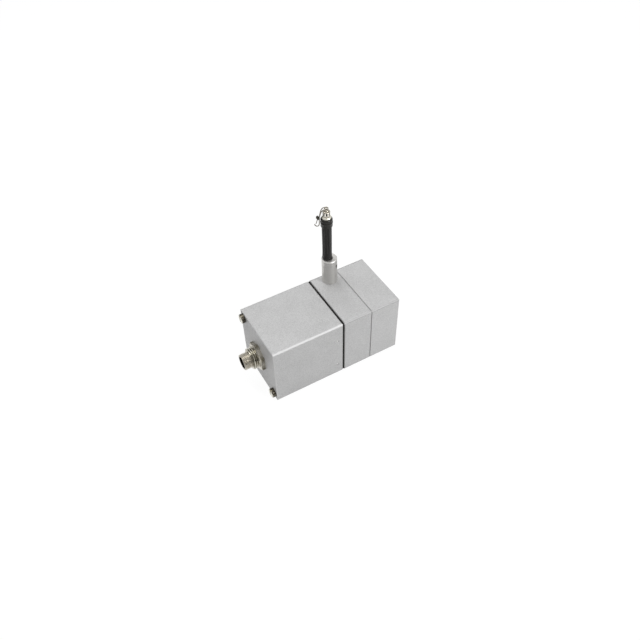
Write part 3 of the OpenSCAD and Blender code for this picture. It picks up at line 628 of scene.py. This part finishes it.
# ---- Ferrule ----
# Turned steel, bright zinc plated. The wire is crimped in its stem, and its wide collar closes
# the cap and carries the swivel.
ferrule_low, ferrule_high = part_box("ferrule")
collar_h = 1.58
collar_z = ferrule_high.z - collar_h * MM
stem_end = (ferrule_low.z - collar_z) / MM
ferrule = bmesh.new()
outline = [(0.0, -2.0), (0.3, -2.0), (0.3, stem_end), (1.5, stem_end), (1.7, stem_end + 0.2), (1.7, 0.02),
           (3.0, 0.02), (3.0, 0.42), (3.35, 0.42), (3.35, 0.8), (2.7, 1.5), (2.55, collar_h), (0.0, collar_h)]
rim = eased([(x * MM, y * MM, 0) for x, y in outline], 0.08 * MM)
turned(ferrule, [(point.x, point.y) for point in rim], Vector((end_x, end_y, collar_z)))
bright_zinc = machined("bright_zinc", (0.7, 0.68, 0.6), 0.3, "Z", fine=0.0002, streaks=0.08)
make_piece("ferrule_collared", ferrule, bright_zinc, "wire_end", "ferrule")


# ---- Swivel ----
# Nickel-plated brass barrel, fluted so that it can be gripped, with the eye's head running in
# it. The eye is a cone and a ring of wire, hard soldered.
barrel_low, barrel_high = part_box("swivel_barrel")
barrel_r, barrel_h = (barrel_high.x - barrel_low.x) / 2, barrel_high.z - barrel_low.z
swivel_nickel = machined("swivel_nickel", (0.42, 0.39, 0.33), 0.12, "Z", fine=0.0003, streaks=0.1)
# The fluted band gets a lighter copy of the barrel's nickel, a painted highlight, with painted shade near
# black in the flute roots.
fluted_nickel_painted_light = paint_shade_near_axis(machined("fluted_nickel_painted_light", (0.8, 0.77, 0.7), 0.08, "Z", streaks=0.1), "Z",
                       [(end_x, end_y, 0.0)], barrel_r - 0.2 * MM, barrel_r - 0.02 * MM, (0.01, 0.009, 0.007))


def barrel_shape(radius, height, turn):
    """Eight flutes between the collar and the dome."""
    along = min(max((height - 1.2 * MM) / (0.3 * MM), 0.0), 1.0)
    along *= min(max((barrel_h - 0.8 * MM - height) / (0.3 * MM), 0.0), 1.0)
    flute = max(0.0, math.cos(8 * (turn + 0.44))) ** 0.6
    return radius - 0.45 * MM * along * flute if radius > 2.0 * MM else radius


barrel = bmesh.new()
outline = [(0.0, 0.0), (barrel_r - 0.15 * MM, 0.0), (barrel_r, 0.15 * MM)]
outline += spaced(barrel_r, 0.5 * MM, barrel_h - 0.9 * MM, 0.1 * MM)
outline += [(barrel_r - 0.9 * MM * (1 - math.cos(a)), barrel_h - 0.9 * MM * (1 - math.sin(a)))
            for a in [math.radians(15 * i) for i in range(1, 7)]]
outline += [(0.95 * MM, barrel_h), (0.85 * MM, barrel_h - 0.1 * MM), (0.85 * MM, barrel_h - 1.1 * MM),
            (1.6 * MM, barrel_h - 1.1 * MM), (1.6 * MM, 0.8 * MM), (0.0, 0.8 * MM)]
turned(barrel, outline, Vector((end_x, end_y, barrel_low.z)), sides=128, shape=barrel_shape)
for face in barrel.faces:
    height = face.calc_center_median().z - barrel_low.z
    face.material_index = int(not 1.1 * MM < height < barrel_h - 0.75 * MM)
make_piece("barrel_fluted", barrel, [fluted_nickel_painted_light, swivel_nickel], "wire_end",
           "swivel_barrel")

hinge = next(joint for joint in frame["joints"] if joint["name"] == "clip_swing")
pin_line = -Vector(hinge["axis"]).normalized()
outward = pin_line.cross(Vector((0.0, 0.0, 1.0)))
clip_turn = Matrix((outward, pin_line, (0, 0, 1))).transposed()
clip_place = Matrix.Translation(hinge["pos_m"]) @ clip_turn.to_4x4()
eye_r, eye_wire_r = 1.07 * MM, 0.4 * MM
eye_z, barrel_z, barrel_top = hinge["pos_m"][2], barrel_low.z, barrel_high.z
eye = bmesh.new()
outline = [(0.0, barrel_z + 1.4 * MM), (1.45 * MM, barrel_z + 1.4 * MM), (1.45 * MM, barrel_z + 2.7 * MM),
           (0.75 * MM, barrel_z + 2.7 * MM), (0.75 * MM, barrel_top + 0.1 * MM),
           (1.5 * MM, barrel_top + 0.1 * MM), (1.5 * MM, barrel_top + 0.3 * MM),
           (0.5 * MM, eye_z - eye_r + 0.12 * MM), (0.0, eye_z - eye_r + 0.12 * MM)]
rim = eased([(x, y, 0) for x, y in outline], 0.08 * MM)
turned(eye, [(point.x, point.y) for point in rim], Vector((end_x, end_y, 0.0)), sides=64)
round_eye, round_wire = 64, 24
ring = []
for i in range(round_eye):
    a = 2 * math.pi * i / round_eye
    for k in range(round_wire):
        b = 2 * math.pi * k / round_wire
        r = eye_r + eye_wire_r * math.cos(b)
        spot = Vector((r * math.cos(a), eye_wire_r * math.sin(b), r * math.sin(a)))
        ring.append(eye.verts.new(clip_place @ spot))
for i in range(round_eye):
    for k in range(round_wire):
        next_i, next_k = (i + 1) % round_eye, (k + 1) % round_wire
        spots = [(i, k), (next_i, k), (next_i, next_k), (i, next_k)]
        eye.faces.new([ring[a * round_wire + b] for a, b in spots])
make_piece("eye_ring", eye, swivel_nickel, "swivel", "swivel_eye")


# ---- Clip ----
# Hook and bail are one bent spring wire, brazed to a folded cheek plate. The gate turns on a
# riveted pin between the cheeks, with a curved tab for the thumb.
# The cheeks, back plate, rivet and gate get a near-black copy of the nickel, as painted shade; only the wires
# keep the lighter one.
clip_nickel = [machined("clip_wire_nickel", (0.3, 0.28, 0.24), 0.14, "Z", fine=0.0004, streaks=0.12),
               machined("clip_plate_nickel_painted_shade", (0.06, 0.055, 0.045), 0.25, "Z", fine=0.0004, streaks=0.12)]
gate_pin = (5.65 * MM, 0.0, -7.8 * MM)
clip_wire, gate_wire, bail = 0.34 * MM, 0.3 * MM, 1.25 * MM
cheek_in, cheek_out, cheek_r, back_x = 0.5 * MM, 0.9 * MM, 0.85 * MM, 4.45 * MM


def plate(mesh, outline, low, high, place, soft=0.07 * MM):
    """Adds a plate with softened edges. outline is in X and Z, and it runs from low to high in Y."""
    near = [mesh.verts.new((x, low, z)) for x, z in outline]
    far = [mesh.verts.new((x, high, z)) for x, z in outline]
    made = [mesh.faces.new(near), mesh.faces.new(far[::-1])]
    for i in range(len(outline)):
        j = (i + 1) % len(outline)
        made.append(mesh.faces.new([near[j], near[i], far[i], far[j]]))
    rim = [*made[0].edges, *made[1].edges]
    result = bmesh.ops.bevel(mesh, geom=rim, offset=soft, segments=2, affect="EDGES", profile=0.5)
    spots = set(result["verts"])
    for face in result["faces"]:
        spots |= set(face.verts)
    for vert in {v for v in spots if v.is_valid} | {v for v in near + far if v.is_valid}:
        vert.co = place @ vert.co


def arc(centre, radius, start, end, count):
    """Points on an arc from start to end, in degrees."""
    turns = [math.radians(start + (end - start) * i / count) for i in range(count + 1)]
    return [(centre[0] + radius * math.cos(a), centre[2] + radius * math.sin(a)) for a in turns]


clip = bmesh.new()
left_end, right_end = (4.7 * MM, 0.6 * MM, -6.5 * MM), (4.7 * MM, -0.6 * MM, -6.5 * MM)
bail_route = [left_end, (3.4 * MM, bail, -1.6 * MM), (1.9 * MM, bail, -0.1 * MM), (0.0, bail, 0.0),
              (0.0, -bail, 0.0), (1.9 * MM, -bail, -0.1 * MM), (3.4 * MM, -bail, -1.6 * MM), right_end]
bent(clip, eased(bail_route, 1.6 * MM, 8), clip_wire, 20, clip_place)
hook_route = [(4.85, 0, -8.4), (4.85, 0, -13.9), (6.2, 0, -14.8), (7.85, 0, -13.9), (7.85, 0, -12.6)]
hook_route = [Vector(point) * MM for point in hook_route]
bent(clip, eased(hook_route, 5 * MM, 10), clip_wire, 20, clip_place)
wires = set(clip.faces)
cheek = arc(gate_pin, cheek_r, -90, 90, 16)
cheek += [(back_x, gate_pin[2] + cheek_r), (back_x, gate_pin[2] - cheek_r)]
for low, high in ((cheek_in, cheek_out), (-cheek_out, -cheek_in)):
    plate(clip, cheek, low, high, clip_place)
back_far, back_low, back_top = back_x + 0.35 * MM, -8.65 * MM, -5.95 * MM
back_plate = [(back_x, back_low), (back_far, back_low), (back_far, back_top), (back_x, back_top)]
plate(clip, back_plate, -cheek_out, cheek_out, clip_place)
rivet_r, rivet_half = 0.32 * MM, cheek_out + 0.05 * MM
rivet_route = [(gate_pin[0], side * rivet_half, gate_pin[2]) for side in (-1, 0, 1)]
bent(clip, rivet_route, rivet_r, 20, clip_place)
for face in clip.faces:
    face.material_index = int(face not in wires)
make_piece("clip_wirework", clip, clip_nickel, "clip", "clip_body")

gate = bmesh.new()
hub_half, hub_r, tab_in, tab_out, tab_half = 0.4 * MM, 0.6 * MM, 1.0 * MM, 1.4 * MM, 0.9 * MM
tab = arc(gate_pin, tab_out, 10, 99, 14) + arc(gate_pin, tab_in, 99, 10, 12)
plate(gate, tab, -tab_half, tab_half, clip_place)
root = [(gate_pin[0] + r * math.cos(a), gate_pin[2] + r * math.sin(a)) for r, a in
        ((0.45 * MM, 0.2), (1.1 * MM, 0.5), (1.1 * MM, 1.1), (0.45 * MM, 1.4))]
plate(gate, root, -hub_half, hub_half, clip_place, 0.03 * MM)
plate(gate, arc(gate_pin, hub_r, 0, 345, 23), -hub_half, hub_half, clip_place, 0.05 * MM)
for face in gate.faces:
    face.material_index = 1
gate_route = [(gate_pin[0] + x * MM, 0.0, gate_pin[2] + z * MM) for x, z in
              ((0.15, -0.45), (0.8, -2.6), (1.4, -4.8))]
bent(gate, eased(gate_route, 1 * MM, 4), gate_wire, 20, clip_place)
make_piece("gate_sprung", gate, clip_nickel, "gate", "clip_gate")


# ---- Camera, light and floor ----
# A plain studio of white paper, with a large soft lamp overhead and a small one at the front.
# Two black cards stand round the object and one lies beside it. Only reflections see them.
camera_data = bpy.data.cameras.new("camera")
camera_data.lens = 37.4
camera_data.sensor_width = 36.0
camera = bpy.data.objects.new("camera", camera_data)
bpy.context.scene.collection.objects.link(camera)
look_at = Vector((-0.0005, 0.0, 0.0336))
azimuth, elevation, roll = math.radians(28.5), math.radians(47.6), math.radians(-1.87)
distance = 0.4765
back = Vector((-math.sin(azimuth) * math.cos(elevation), -math.cos(azimuth) * math.cos(elevation),
               math.sin(elevation)))
turn = (-back).to_track_quat("-Z", "Y").to_matrix() @ Matrix.Rotation(roll, 3, "Z")
camera.matrix_world = Matrix.Translation(look_at + back * distance) @ turn.to_4x4()
camera_data.clip_start, camera_data.clip_end = 0.01, 20.0
bpy.context.scene.camera = camera
bpy.context.scene.view_settings.view_transform = "Standard"


def softbox(name, place, size, power):
    """Square area lamp aimed at the middle of the body."""
    lamp = bpy.data.lights.new(name, "AREA")
    lamp.size, lamp.energy = size, power
    box = bpy.data.objects.new(name, lamp)
    bpy.context.scene.collection.objects.link(box)
    box.location = place
    aim = Vector((0.0, 0.0, 0.03)) - box.location
    box.rotation_euler = aim.to_track_quat("-Z", "Y").to_euler()


softbox("key", (-0.1, 0.3, 1.0), 0.6, 4.0)
softbox("fill", (0.4, -0.85, 0.7), 0.2, 5.2)

world = bpy.data.worlds.new("studio")
bpy.context.scene.world = world
world.use_nodes = True
tree = world.node_tree
path = add(tree, "LightPath")
seen = add(tree, "Math", {0: path.outputs["Is Glossy Ray"], 1: 0.8}, operation="MULTIPLY")
seen = add(tree, "Math", {0: seen.outputs[0], 1: path.outputs["Is Camera Ray"]}, operation="MAXIMUM")
seen = add(tree, "Math", {0: seen.outputs[0], 1: path.outputs["Is Transmission Ray"]},
           operation="MAXIMUM")
shown = add(tree, "Background", {"Color": (1, 1, 1, 1), "Strength": 1.0})
ambient = add(tree, "Background", {"Color": (1, 1, 1, 1), "Strength": 0.27})
mixed = add(tree, "MixShader", {0: seen.outputs[0], 1: ambient.outputs[0], 2: shown.outputs[0]})
tree.links.new(mixed.outputs[0], tree.nodes["World Output"].inputs["Surface"])

bpy.ops.mesh.primitive_plane_add(size=4.0, location=(0.0, 0.0, -0.0001))
floor = bpy.context.object
floor.name = "floor"
paper, tree, shader = start_finish("paper", 0.9)
shader.inputs["Base Color"].default_value = (0.85, 0.85, 0.85, 1.0)
path = add(tree, "LightPath")
seen = add(tree, "Math", {0: path.outputs["Is Camera Ray"], 1: path.outputs["Is Glossy Ray"]},
           operation="MAXIMUM")
part = add(tree, "Math", {0: seen.outputs[0], 1: 0.9}, operation="MULTIPLY")
glow = add(tree, "Emission", {"Color": (1, 1, 1, 1), "Strength": 1.06})
mixed = add(tree, "MixShader", {0: part.outputs[0], 1: shader.outputs[0], 2: glow.outputs[0]})
tree.links.new(mixed.outputs[0], tree.nodes["Material Output"].inputs["Surface"])
floor.data.materials.append(paper)
floor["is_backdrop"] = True

black_cloth, tree, shader = start_finish("black_cloth", 1.0)
shader.inputs["Base Color"].default_value = (0.04, 0.04, 0.04, 1.0)


def flag(name, near, far, rise, start, end, height=0.0):
    """Black card that only reflections see, as part of a ring round the object on the floor.
    It lies from radius near to radius far and rises there; start and end are in degrees from +X."""
    mesh = bmesh.new()
    rows, strips = [], 24
    for i in range(strips + 1):
        a = math.radians(start + (end - start) * i / strips)
        rows.append([mesh.verts.new((near * math.cos(a), near * math.sin(a), height)),
                     mesh.verts.new((far * math.cos(a), far * math.sin(a), height + rise))])
    for one, two in zip(rows, rows[1:]):
        mesh.faces.new([one[0], two[0], two[1], one[1]])
    data = bpy.data.meshes.new(name)
    mesh.to_mesh(data)
    mesh.free()
    data.materials.append(black_cloth)
    card = bpy.data.objects.new(name, data)
    bpy.context.scene.collection.objects.link(card)
    card.visible_camera = card.visible_diffuse = card.visible_shadow = False
    card.visible_transmission = card.visible_volume_scatter = False
    card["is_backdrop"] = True


flag("back_flag", 1.3, 1.3001, 0.5, 30, 115)
flag("front_flag", 1.3, 1.3001, 0.5, 165, 330)
flag("left_flag", 0.2, 1.3, 0.0, 140, 200, -0.00005)

low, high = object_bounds()
